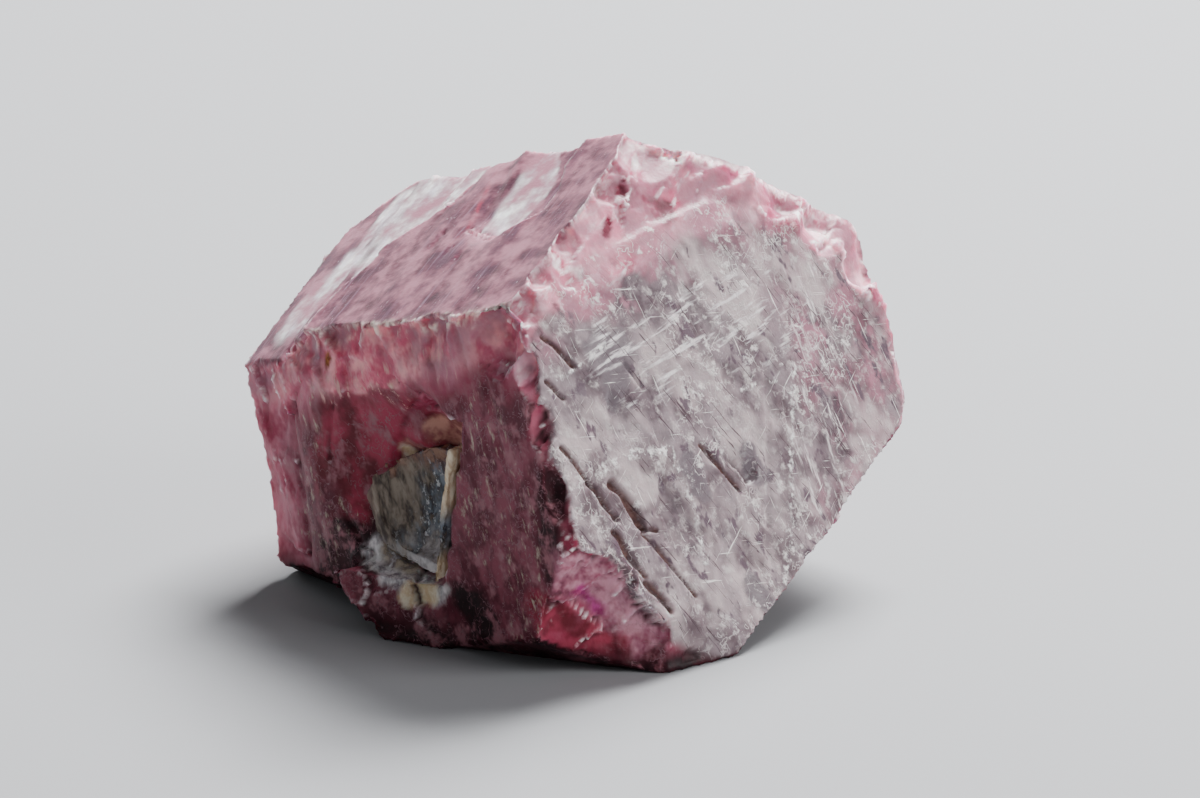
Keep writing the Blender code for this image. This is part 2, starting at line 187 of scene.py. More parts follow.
# The skin is an even mesh of small squares. It is drawn back onto the solid's faces from nearby,
# and gets finer where the partings are.
SKIN_GRAIN = 0.105
SKIN_REACH = 0.12
solid = solid_in_mm("ruby_crystal")
solid_tree = BVHTree.FromBMesh(solid)
crystal = evenly_meshed(solid, "ruby_crystal_skin", SKIN_GRAIN)
bm = bmesh.new()
bm.from_mesh(crystal.data)
for vertex in bm.verts:
    nearest = solid_tree.find_nearest(vertex.co, SKIN_REACH)[0]
    if nearest is not None:
        vertex.co = nearest
bm.normal_update()


def parting_distance(places):
    """Distance of each place to the nearest parting, seen along the crystal."""
    flat = places[:, :2]
    return np.min([line_distance(flat, line[:2]) for line in PARTINGS], axis=0)


centres = np.array([(edge.verts[0].co + edge.verts[1].co) / 2 for edge in bm.edges])
centres = seen_from_crystal(centres)
close = (parting_distance(centres) < PARTING_REACH) & (centres[:, 2] > END_DISTANCE - AT_END)
fine_edges = [edge for edge, wanted in zip(bm.edges, close) if wanted]
bmesh.ops.subdivide_edges(bm, edges=fine_edges, cuts=1, use_grid_fill=True)
bmesh.ops.triangulate(bm, faces=[face for face in bm.faces if len(face.verts) > 4])
bm.to_mesh(crystal.data)
bm.free()

at = seen_from_crystal(read_vectors(crystal.data.vertices, "co"))
facing = vertex_normals(crystal.data) @ LYING_ARRAY
ends = np.empty(len(crystal.data.edges) * 2, dtype=np.int32)
crystal.data.edges.foreach_get("vertices", ends)
ends = ends.reshape(-1, 2)
neighbours = np.bincount(ends.ravel(), minlength=len(at))


def evened(values, times):
    """Each point's value shared with its neighbours, over and over."""
    for _ in range(times):
        total = (np.bincount(ends[:, 0], values[ends[:, 1]], len(at))
                 + np.bincount(ends[:, 1], values[ends[:, 0]], len(at)))
        values = 0.5 * values + 0.5 * total / neighbours
    return values


def standing_out(places, normals, reach):
    """How far each point stands out of the surface around it: edges above 0, hollows below."""
    around = np.stack([evened(places[:, axis], reach) for axis in range(3)], axis=1)
    return np.sum((places - around) * normals, axis=1)


def smooth(low, high, value):
    """Rises from 0 at low to 1 at high, or falls where low is the larger."""
    part = np.clip((value - low) / (high - low), 0.0, 1.0)
    return part * part * (3.0 - 2.0 * part)


def on_face(name, reach=0.12):
    """How much each point belongs to one flat face of the crystal, from 0 to 1."""
    angle, lift, distance = FACES[name]
    normal = direction(angle, lift)
    level = smooth(reach * 2, reach, np.abs(at @ normal - distance))
    return level * smooth(0.86, 0.96, facing @ normal)


# The end face is laid flat where the partings cross it, and they are cut again at full sharpness.
LOWEST_PARTING = -5.3
floor_z = (at @ LYING_ARRAY.T + np.array(MIDDLE))[:, 2]
beside_parting = (parting_distance(at) < PARTING_REACH) & (at[:, 2] > END_DISTANCE - AT_END)
beside_parting &= (facing[:, 2] > 0.2) & (at[:, 0] > LOWEST_PARTING)
at[beside_parting, 2] = END_DISTANCE
facing[beside_parting] = (0, 0, 1)
END = np.maximum(on_face("end"), beside_parting)
END = np.maximum(END, smooth(0.45, 0.55, evened(END, 60)) * (at[:, 2] > END_DISTANCE - AT_END))

TOP_ANGLE, TOP_LIFT, TOP_DISTANCE = FACES["top"]
TOP_NORMAL = direction(TOP_ANGLE, TOP_LIFT)
TOP_ACROSS = direction(TOP_ANGLE + 90)


def on_top_face(places):
    """Places as seen on the top face: how far across it, and how far along the crystal."""
    return np.stack([places @ TOP_ACROSS, places[:, 2]], axis=1)


# The top face's highest terrace is laid flat too, up to the worn edge where it steps down.
TERRACE_EDGE = [(-0.35, 0.75), (-0.9, -0.5), (-3.2, -1.2), (-7.0, -1.6)]
TERRACE_SIDE = 2.7
top_height = at @ TOP_NORMAL
across_along = on_top_face(at)
plateau = smooth(0.18, 0.12, np.abs(top_height - TOP_DISTANCE)) * (facing @ TOP_NORMAL > 0.3)
plateau = plateau * (across_along[:, 0] < TERRACE_SIDE)
plateau *= smooth(0.7, 1.1, line_distance(across_along, TERRACE_EDGE))
at += TOP_NORMAL * (plateau * (TOP_DISTANCE - top_height))[:, None]
facing[plateau > 0.5] = TOP_NORMAL

# The hollow is a dish with one straight wall, where the host rock's seam stands.
DISH_MIDDLE = (-0.35, 8.15, -1.6)
DISH_RADII = (4.35, 3.75, 3.7)
SEAM_WALL_ANGLE = math.radians(28.3)
SEAM_WALL_FOOT = (0.38, 1.58)


def from_seam_wall(places):
    """How far each place is past the straight wall of the hollow, which is at 0."""
    return ((places[:, 2] - SEAM_WALL_FOOT[1]) * math.cos(SEAM_WALL_ANGLE)
            - (places[:, 0] - SEAM_WALL_FOOT[0]) * math.sin(SEAM_WALL_ANGLE))


# Which part of the crystal each point lies on, from 0 to 1.
TOP = smooth(0.90, 0.97, facing @ TOP_NORMAL) * smooth(4.0, 4.4, top_height)
RISER = smooth(0.22, 0.40, facing[:, 2]) * smooth(4.2, 4.6, top_height) * smooth(2.6, 2.0, at[:, 2])
FRONT = on_face("front")
BACK = on_face("under_right") + on_face("back") + on_face("back_top")
SIDES = on_face("under_front") + BACK
RESTING = smooth(0.25, 0.05, floor_z)
BROKEN = np.clip(1.0 - END - TOP - RISER - FRONT - SIDES - RESTING, 0.0, 1.0)
from_seam = from_seam_wall(at)
dish = np.linalg.norm((at - np.array(DISH_MIDDLE)) / np.array(DISH_RADII), axis=1)
HOLLOW = smooth(1.03, 1.0, dish) * smooth(5.13, 5.0, at[:, 1]) * smooth(-4.0, -3.4, at[:, 0])
trough = (np.abs(at[:, 2] + 0.6) < 2.6) & (np.abs(at[:, 0] + 0.7) < 2.9)
trough &= (at[:, 1] > 2.8) & (from_seam < 0.05)
HOLLOW = np.maximum(HOLLOW, smooth(4.6, 4.3, at[:, 1]) * trough)
BROKEN *= 1 - HOLLOW
world_up = facing @ LYING_ARRAY.T[:, 2]
# Painted shade: faces turned down low on the crystal, and all places near the floor.
PAINTED_UNDER_SHADE = smooth(-0.15, -0.5, world_up) * smooth(4.5, 3.0, floor_z) + smooth(1.0, 0.2, floor_z)
upper_front = smooth(0.5, 0.8, facing[:, 1]) * smooth(1.5, 2.3, at[:, 0]) * (1 - HOLLOW)

# The rim of the dish is worn round, except at the seam wall, and so is the edge of the terrace.
# A lump stands in the upper part of the dish.
RIM_WEAR_ROUNDS = 90
LUMP_MIDDLE = (0.35, 3.9, -0.85)
LUMP_RADII = (0.75, 1.3, 0.9)
LUMP_HEIGHT = 0.40
rim = smooth(0.16, 0.04, np.abs(dish - 1.0)) * smooth(4.3, 4.7, at[:, 1])
rim *= smooth(-0.5, -0.9, from_seam)
rim *= smooth(-3.2, -2.2, at[:, 0])
across_along = on_top_face(at)
worn_step = smooth(0.9, 0.3, line_distance(across_along, TERRACE_EDGE))
rim = np.maximum(rim, worn_step * smooth(4.4, 4.7, top_height))
softened = np.stack([evened(at[:, axis], RIM_WEAR_ROUNDS) for axis in range(3)], axis=1)
at += (softened - at) * rim[:, None]
lump = smooth(1.0, 0.1, np.linalg.norm((at - LUMP_MIDDLE) / LUMP_RADII, axis=1)) * HOLLOW
at += facing * (LUMP_HEIGHT * lump)[:, None]

# The crystal is a little fuller than its flat faces at the left end and at the upper right corner.
FULLER_LEFT_END = 0.22
FULLER_CORNER = 0.24
fuller = FULLER_LEFT_END * smooth(-2.8, -5.0, at[:, 2]) * smooth(1.5, 4.0, at[:, 0])
corner = [(4.7, -3.6, 3.6), (4.2, -4.6, 3.4), (2.0, -6.6, 3.0), (-1.5, -6.6, 3.0)]
fuller += FULLER_CORNER * smooth(2.4, 0.6, line_distance(at, corner)) * (1 - END)
at += facing * fuller[:, None]


def lattice_value(cell, seed):
    """One repeatable random number from 0 to 1 for each cell of a lattice."""
    mixed = (cell[:, 0] * 374761393 + cell[:, 1] * 668265263
             + cell[:, 2] * 2147483647 + seed * 1274126177)
    mixed = (mixed ^ (mixed >> 13)) * 1103515245
    mixed = mixed ^ (mixed >> 16)
    return (mixed & 0xFFFFF) / float(0xFFFFF)


def noise(at, size, seed):
    """Smooth noise from -1 to 1, with swells about as wide as size, given in millimetres."""
    place = at / np.asarray(size, dtype=float)
    cell = np.floor(place).astype(np.int64)
    part = place - cell
    part = part * part * (3.0 - 2.0 * part)
    total = np.zeros(len(at))
    for corner in range(8):
        step = np.array([corner & 1, corner >> 1 & 1, corner >> 2 & 1])
        share = np.prod(np.where(step == 1, part, 1.0 - part), axis=1)
        total += share * lattice_value(cell + step, seed)
    return total * 2.0 - 1.0


def layered(at, size, seed, layers=4, fade=0.5):
    """Noise with finer noise added to it, each layer half as wide and fainter."""
    total = np.zeros(len(at))
    weight = 1.0
    for layer in range(layers):
        total += weight * noise(at, np.asarray(size, dtype=float) / 2 ** layer, seed + layer * 17)
        weight *= fade
    return total


def flakes(at, size, seed):
    """Splits space into cells: how near each cell's middle is, its number and its lean."""
    place = at / np.asarray(size, dtype=float)
    cell = np.floor(place).astype(np.int64)
    nearest = np.full(len(at), 9.0)
    number = np.zeros(len(at))
    lean = np.zeros(len(at))
    for near in np.ndindex(3, 3, 3):
        other = cell + np.array(near) - 1
        middle = np.stack([lattice_value(other, seed + axis) for axis in range(3)], axis=1)
        offset = place - other - middle
        slope = np.stack([lattice_value(other, seed + axis) for axis in (11, 12, 13)], axis=1) - 0.5
        gap = np.linalg.norm(offset, axis=1)
        closer = gap < nearest
        number = np.where(closer, lattice_value(other, seed + 7), number)
        lean = np.where(closer, np.sum(offset * slope, axis=1), lean)
        nearest = np.where(closer, gap, nearest)
    return nearest, number, lean


# Growth lines run across the side faces, square to the long axis. The end face has triangular
# growth pits that all point one way, and the broken parts have shell-shaped flakes.
GROWTH_POINT = 33.0
PIT_COUNT = 150
growth_lines = noise(at, (6.0, 6.0, 0.9), 3) + 0.6 * noise(at, (5.0, 5.0, 0.4), 5)
wear = layered(at, 1.4, 11)

rng = random.Random(7)
pits = np.zeros(len(at))
for number in range(PIT_COUNT):
    middle = np.array((rng.uniform(-6.5, 5.0), rng.uniform(-6.5, 5.0)))
    radius = rng.uniform(0.14, 0.28) if number % 6 else rng.uniform(0.35, 0.7)
    depth = rng.uniform(0.015, 0.05)
    spread = np.max([(at[:, :2] - middle) @ direction(GROWTH_POINT + turn)[:2]
                     for turn in (60, 180, 300)], axis=0)
    pits = np.maximum(pits, depth * smooth(radius, radius * 0.45, spread))

along_band = np.stack([at @ direction(TOP_ANGLE), at @ TOP_ACROSS, at[:, 2]], axis=1)
bent = along_band + 0.3 * np.stack([noise(at, 1.1, seed) for seed in (21, 22, 24)], axis=1)
edge_wear = standing_out(at, facing, 4)
_, flake_tone, flake_lean = flakes(bent, (1.3, 2.2, 1.0), 23)
fine_near, fine_tone, fine_lean = flakes(bent, (0.65, 1.2, 0.55), 33)

# How deep each kind of relief is, in millimetres.
relief = np.zeros(len(at))
relief -= END * (0.025 * smooth(-0.6, 1.0, wear) + pits + 0.012 * np.abs(noise(at, 0.25, 41)))
relief -= TOP * (0.050 * smooth(-1.2, 1.2, growth_lines) + 0.015 * smooth(-0.6, 1.0, wear))
relief -= RISER * 0.03 * smooth(-1.0, 1.0, noise(at, (1.2, 1.2, 0.3), 61))
relief -= FRONT * (0.05 * smooth(-0.8, 1.0, layered(at, (1.1, 0.6, 0.35), 51)) + 0.02 * fine_near)
relief -= SIDES * (0.050 * smooth(-1.2, 1.2, growth_lines) + 0.05 * smooth(-0.4, 1.0, wear))
relief -= HOLLOW * 0.06 * smooth(-1.0, 1.0, layered(at, (1.4, 0.5, 0.5), 71))
facets = 0.38 * flake_lean + 0.13 * fine_lean + 0.05 * flake_tone + 0.015 * fine_tone + 0.05
facets += 0.03 * smooth(-1.0, 1.0, wear)
relief -= np.maximum(BROKEN, 0.7 * upper_front) * facets * (1 - RESTING)
chipped = smooth(0.008, 0.05, edge_wear) * smooth(-0.3, 0.6, noise(at, 0.38, 77))
relief -= 0.08 * chipped * (1 - RESTING) * (1 - TOP)

# The partings are ragged grooves with sloping sides, and dirt stays in the deeper ones.
DIRTY_DEPTH = 0.1
groove = np.zeros(len(at))
wandering = 0.07 * np.stack([noise(at, 0.5, 82), noise(at, 0.5, 83)], axis=1)
uneven = 1 + 0.5 * noise(at, 0.4, 81)
for start, stop, width, depth in PARTINGS:
    half = width / 2 * uneven
    distance = line_distance(at[:, :2] + wandering, (start, stop))
    relief -= beside_parting * depth * np.clip(1 - distance / half, 0, 1)
    if depth > DIRTY_DEPTH:
        groove = np.maximum(groove, beside_parting * smooth(1.0, 0.3, distance / half))

shaped = at + facing * relief[:, None]
lying = (shaped @ LYING_ARRAY.T + np.array(MIDDLE)).astype(np.float32)
crystal.data.vertices.foreach_set("co", lying.ravel())
crystal.data.update()
shaped_facing = vertex_normals(crystal.data) @ LYING_ARRAY
sharp = standing_out(shaped, shaped_facing, 3)


def keep(piece, name, values):
    """Stores one number for each point of a piece, for its material."""
    layer = piece.data.attributes.new(name, "FLOAT", "POINT")
    layer.data.foreach_set("value", np.clip(values, 0, 1).astype(np.float32))


crystal.data.transform(Matrix.Scale(MM, 4))
for polygon in crystal.data.polygons:
    polygon.use_smooth = True

# Patches of colour and crust, each a ragged strip: the places it runs through, then its half width.
PATCHES = {
    "crimson": [([(1.0, 5.0, -2.6), (0.3, 4.6, -2.6), (-0.8, 4.5, -3.0)], 1.7),
                ([(-4.3, 5.1, 2.9), (-5.1, 4.3, 3.0), (-6.0, 3.0, 3.7)], 0.60)],
    "glow": [([(2.7, 5.1, -3.7), (2.2, 4.9, -1.7), (2.4, 5.0, 0.2)], 0.75),
             ([(2.9, 5.1, 1.2), (2.8, 5.0, 2.6)], 0.4)],
    "black": [([(-1.9, 5.1, -3.6), (-2.1, 5.0, -2.6), (-2.6, 5.1, -4.4)], 1.0),
              ([(-3.8, 5.1, 0.2), (-4.3, 5.1, 0.8)], 0.7),
              ([(-3.6, 4.9, 3.6), (-1.2, 4.9, 4.2)], 0.5)],
    "magenta": [([(-4.2, 4.3, 3.7), (-4.7, 3.9, 3.6)], 0.30)],
    "deep_red": [([(5.2, 0.4, 3.9), (5.0, 0.0, 4.05)], 0.30),
                 ([(5.0, 0.0, 4.05), (4.35, -0.7, 4.28)], 0.42),
                 ([(4.5, 1.0, 4.1), (4.2, 1.3, 4.2)], 0.16),
                 ([(2.9, 3.75, 4.45), (2.6, 3.6, 4.5)], 0.12)],
    "rose": [([(4.7, -1.75, 4.2), (4.3, -3.1, 4.25), (4.2, -3.8, 4.2)], 0.55),
             ([(3.3, 4.3, 4.0), (2.9, 4.2, 4.4)], 0.3)],
    "frosted": [([(5.9, -0.9, 3.7), (5.7, -2.0, 3.9), (5.2, -3.2, 3.8)], 0.65),
                ([(4.9, -3.6, 3.8), (3.4, -5.6, 3.7)], 0.5),
                ([(4.9, 2.0, 3.9), (5.5, 0.9, 3.7)], 0.25),
                ([(3.9, 3.2, 4.2), (3.5, 2.6, 4.45)], 0.25)],
    "dim": [([(2.4, 1.2, 4.5), (2.0, -0.4, 4.5)], 0.8), ([(0.7, 2.7, 4.5), (0.2, 1.6, 4.5)], 0.7),
            ([(-0.3, -1.9, 4.5), (-0.9, -2.3, 4.5)], 0.6),
            ([(-1.6, -4.7, 4.5), (-2.6, -4.2, 4.5)], 0.8),
            ([(1.0, -4.9, 4.5), (0.2, -5.6, 4.5)], 0.6),
            ([(-2.4, 1.0, 4.5), (-3.6, 1.3, 4.5)], 0.6)],
    "spot": [([(-3.6, 4.6, 3.9), (-4.4, 3.6, 3.9), (-5.3, 2.8, 4.0)], 0.9)],
    "flecked": [([(2.1, 5.1, -4.1), (1.0, 5.1, -4.1)], 0.7),
                ([(-0.4, 5.0, -4.9), (-1.9, 5.0, -4.8)], 0.8),
                ([(-1.2, 5.1, -3.9), (-1.4, 5.1, -3.2)], 0.6),
                ([(-1.0, 5.1, 1.2), (-2.6, 5.1, 1.3)], 0.7),
                ([(-3.0, 5.1, 2.6), (-4.6, 5.1, 2.4)], 0.9),
                ([(0.4, 5.1, 2.4), (-2.0, 5.1, 3.2)], 0.9)],
    "streaked": [([(2.3, 5.1, -3.4), (1.9, 5.0, -1.2), (1.4, 4.6, -0.8)], 0.6),
                 ([(2.4, 5.0, 0.4), (1.9, 5.0, 1.6)], 0.5)],
    "pale_floor": [([(-2.3, 5.2, -2.6), (-2.9, 5.3, -1.2), (-3.3, 5.3, -0.7)], 0.60),
                   ([(-2.0, 4.9, -2.2), (-2.6, 5.1, -1.4)], 0.5)],
    "crusted": [([(-0.4, 3.95, -2.2), (-1.6, 4.6, -2.4), (-2.3, 4.95, -2.1), (-2.7, 5.1, -1.3)],
                 0.42)],
    "cream": [([(0.55, 4.2, -1.75), (0.0, 4.0, -1.75)], 0.30),
              ([(-3.4, 5.4, -1.25), (-3.5, 5.3, -0.8)], 0.42),
              ([(1.75, 4.9, -0.75), (1.3, 4.5, -1.3)], 0.15),
              ([(1.65, 4.7, -0.35), (1.2, 4.3, -1.0)], 0.11)],
    "brown": [([(0.3, 3.9, -1.0), (0.2, 4.2, 0.4)], 0.65)],
    "iron": [([(2.75, 5.1, -2.8), (2.6, 5.1, -2.9)], 0.15)],
    "chalk": [([(-1.32, 3.45, 4.5), (-1.15, 2.4, 4.5), (-1.34, 1.2, 4.5)], 0.13),
              ([(-1.34, 1.2, 4.5), (-2.9, 0.8, 4.5), (-4.2, 0.9, 4.5)], 0.08),
              ([(1.1, 4.2, 4.5), (1.25, 3.5, 4.5), (1.58, 2.5, 4.5)], 0.07),
              ([(-0.35, -1.64, 4.5), (-0.40, -2.87, 4.5)], 0.07),
              ([(-0.2, -3.6, 4.5), (-2.2, -2.8, 4.5), (-3.9, -2.3, 4.5), (-5.4, -1.5, 4.5)], 0.09)],
    "glassy": [([(1.5, 2.9, 4.5), (1.4, 1.9, 4.5), (0.5, 2.6, 4.5)], 0.55),
               ([(-1.9, -1.3, 4.5), (-2.5, -1.6, 4.5)], 0.42),
               ([(-5.0, -0.4, 4.5), (-5.6, -0.9, 4.5)], 0.4),
               ([(-1.7, 0.7, 4.5), (-2.6, 0.4, 4.5)], 0.35)],
    "veil_wide": [([(1.2, 2.0, 4.5), (1.6, -1.0, 4.5), (1.0, -3.6, 4.5)], 1.3)],
    "veil_tall": [([(1.4, -4.3, 4.5), (-0.9, -4.6, 4.5), (-3.4, -3.4, 4.5)], 1.1)],
}
patches = {}
for seed, (name, strips) in enumerate(PATCHES.items()):
    ragged = 0.38 * layered(at, 0.5, 90 + seed, 3)
    patches[name] = np.max([smooth(1.0, 0.55, line_distance(at, points) / width + ragged)
                            for points, width in strips], axis=0)

# Behind each growth step the top face has a painted highlight, a bright band of reflected
# light, sharp at the step and fading away from it. Each is given by places across the face,
# where it ends along the crystal, its reach.
STEP_HIGHLIGHTS = [
    ((-1.3, -0.6, 0.8, 1.9), (-4.85, -4.7, -4.85, -4.95), (1.0, 1.4, 1.4, 1.0)),
    ((-4.4, -3.4, -2.4, -1.5, -0.7, 0.1, 0.7), (-1.6, -1.6, -1.65, -2.1, -3.1, -3.15, -3.4),
     (3.7, 3.7, 3.5, 2.9, 1.7, 1.3, 0.7)),
    ((-3.7, -2.4, -1.4), (-4.9, -5.05, -5.1), (0.7, 0.6, 0.4)),
    ((-3.8, -3.3, -2.6, -1.8, -1.1, -0.3), (0.9, 1.2, 1.6, 1.7, 1.5, 1.1),
     (0.8, 1.0, 1.3, 1.6, 1.4, 0.7)),
]
step_highlights = np.zeros(len(at))
across_top, along_top = across_along.T
for across_places, ends_at, reach in STEP_HIGHLIGHTS:
    behind = np.interp(across_top, across_places, ends_at) - along_top + 0.10 * noise(at, 0.5, 132)
    length = np.interp(across_top, across_places, reach)
    length *= 1 + 0.25 * noise(at, (0.8, 0.8, 0.3), 131)
    ended = smooth(across_places[0] - 0.4, across_places[0], across_top)
    ended *= smooth(across_places[-1] + 0.5, across_places[-1] - 0.3,
                    across_top + 0.3 * noise(at, 0.7, 133))
    bright = smooth(-0.06, 0.03, behind) * smooth(1.0, 0.70, behind / length)
    step_highlights = np.maximum(step_highlights, bright * ended)
step_highlights *= smooth(3.8, 4.2, top_height) * smooth(0.75, 0.9, facing @ TOP_NORMAL)

# The grey skin of the end face stops short of its upper rim, along a ragged line given by its
# height at places across the face. Above that line the broken pink band begins.
SKIN_EDGE_ACROSS = (-5.5, -4.0, -2.9, -1.6, -0.5, 0.8, 2.2, 4.0)
SKIN_EDGE_HEIGHT = (2.6, 3.1, 3.35, 3.6, 3.4, 2.9, 2.5, 2.4)
skin_edge = np.interp(at[:, 1], SKIN_EDGE_ACROSS, SKIN_EDGE_HEIGHT)
skinned = smooth(0.35, -0.15, at[:, 0] - skin_edge + 0.3 * layered(at, 0.8, 141, 3))
band = BROKEN * smooth(2.8, 3.6, at[:, 2]) * smooth(-1.0, 0.6, at[:, 0] - 0.3 * at[:, 1])
band = np.maximum(band, 0.85 * END * (1 - skinned))

# Broken edges are pink, and thin rims are painted pink as a glow of light through them. The left
# end is crimson. The front is dark, partly with painted shade, and it is painted near black as
# shade where it turns under and near the floor.
UPPER_LIP = [(3.35, 5.1, -5.2), (3.25, 5.12, -1.0), (3.0, 5.1, 4.2)]
front_side = smooth(0.5, 0.8, facing[:, 1]) * smooth(-7.5, -6.5, at[:, 2])
rims = smooth(0.012, 0.045, sharp)
# Painted shade: the underside and the parts near the floor join the black patches, near black.
black = np.clip(patches["black"] + PAINTED_UNDER_SHADE + RESTING, 0, 1)
pink_upper = front_side * smooth(1.2, 2.6, at[:, 0] + 0.5 * wear)
pink_end = 0.7 * smooth(-4.6, -6.4, at[:, 2] + 0.4 * wear)
# Painted shade: the front darkens towards its lower part, except near the left end.
painted_lower_shade = smooth(1.9, 0.6, at[:, 0] + 0.6 * wear) * smooth(-6.4, -4.6, at[:, 2] + 0.3 * wear)
hollow_red = HOLLOW * smooth(2.0, 1.0, at[:, 0] + 0.5 * wear)
crimson_end = 0.45 * smooth(-5.2, -6.4, at[:, 2]) * (1 - TOP)
# How much painted crevice shade each part takes: less on the top, the end, the upper front and the
# band.
crevice_shade_weight = (1 - 0.9 * TOP) * (1 - 0.7 * END) * (1 - 0.85 * upper_front) * (1 - 0.85 * band)
pale_facets = np.maximum(smooth(0.62, 0.70, flake_tone), smooth(0.80, 0.86, fine_tone))
marks = {
    "stone": np.ones(len(at)),
    # The rims' share of the pink is a painted glow of light shining through thin edges.
    "pink": band + BROKEN * 0.4 + 0.3 * rims + patches["spot"] + pink_upper + pink_end,
    "spot": patches["spot"],
    "band": band,
    # Painted shade: the faces at the back are darkened.
    "painted_back_shade": 0.8 * BACK * (1 - black),
    # The front's own dark maroon, darkened more by painted shade at its lower part and on the
    # sides.
    "dark": front_side * painted_lower_shade + 0.5 * SIDES,
    "crimson": np.maximum(patches["crimson"], 0.9 * hollow_red) + crimson_end,
    "black": black,
    "skin": END * (0.25 + 0.75 * skinned),
    "rosy": (smooth(-2.6, -5.0, at[:, 1] + 0.9 * wear)
             + smooth(1.8, 3.4, at[:, 0] + 0.12 * at[:, 1] + 0.7 * wear)),
    "top": np.maximum(TOP, 0.85 * BACK * (1 - black)),
    "growth": np.clip(SIDES, 0, 1),
    "painted_step_highlight": step_highlights,
    "groove": groove,
    # Worn broken edges are frosted white; edges that face up are whitened more as a painted
    # highlight.
    "edge_frost_and_highlight": (BROKEN * 0.9 * rims + 0.5 * rims * smooth(-0.1, 0.3, world_up)) * (1 - black),
    "flecked": patches["flecked"] * front_side,
    # Painted shade: hollows in the surface are darkened.
    "painted_crevice_shade": smooth(-0.012, -0.06, sharp) * crevice_shade_weight,
    "facet_pale": (band + 0.55 * upper_front) * pale_facets,
    "facet_deep": (band + 0.5 * upper_front) * smooth(0.36, 0.28, flake_tone),
    "lip": smooth(0.40, 0.12, line_distance(at, UPPER_LIP)) * smooth(-0.005, 0.02, sharp),
    "veined": END * smooth(-0.25, 0.45, layered(at, (1.5, 1.1, 1.0), 151, 2)),
    "brown": patches["brown"] * HOLLOW,
    "glow": np.maximum(patches["glow"], 0.85 * upper_front),
}
for name in ("magenta", "deep_red", "rose", "frosted", "streaked", "pale_floor", "crusted",
             "cream", "iron"):
    marks[name] = patches[name]
for name in ("chalk", "dim", "glassy", "veil_wide", "veil_tall"):
    marks[name] = patches[name] * END
for name, values in marks.items():
    keep(crystal, name, values)
print("crystal triangles", sum(len(polygon.vertices) - 2 for polygon in crystal.data.polygons))


def linear(hex_colour):
    """An sRGB hex colour as linear red, green, blue and alpha."""
    parts = [int(hex_colour[index:index + 2], 16) / 255 for index in (0, 2, 4)]
    return (*[part / 12.92 if part <= 0.04045 else ((part + 0.055) / 1.055) ** 2.4
              for part in parts], 1.0)


def add(tree, kind, inputs=(), **settings):
    """Adds a node with its settings, its values and the links that feed it."""
    made = tree.nodes.new(kind)
    for name, value in settings.items():
        setattr(made, name, value)
    for socket, value in dict(inputs).items():
        if isinstance(value, bpy.types.NodeSocket):
            tree.links.new(value, made.inputs[socket])
        else:
            made.inputs[socket].default_value = value
    return made


# Raw corundum with its natural skin. It is glassy and see-through only a little way in, so light
# spreads inside it: pink where it is thin or broken, near black-red in the body. The skin over it
# is etched and scratched to a grey-lilac frost. Its colour also holds painted light: a glow on thin
# rims, highlights on the top face's growth steps and on upward edges, and shade on the front, the
# back, the underside and in crevices.
ruby = bpy.data.materials.new("raw_corundum")
ruby.use_nodes = True
tree = ruby.node_tree
shader = tree.nodes["Principled BSDF"]
into_crystal = LYING.transposed()
lattice = add(tree, "ShaderNodeMapping", {
    "Vector": add(tree, "ShaderNodeTexCoord").outputs["Object"],
    "Scale": (1 / MM, 1 / MM, 1 / MM),
    "Rotation": into_crystal.to_euler(),
    "Location": -(into_crystal @ Vector(MIDDLE)),
}).outputs["Vector"]

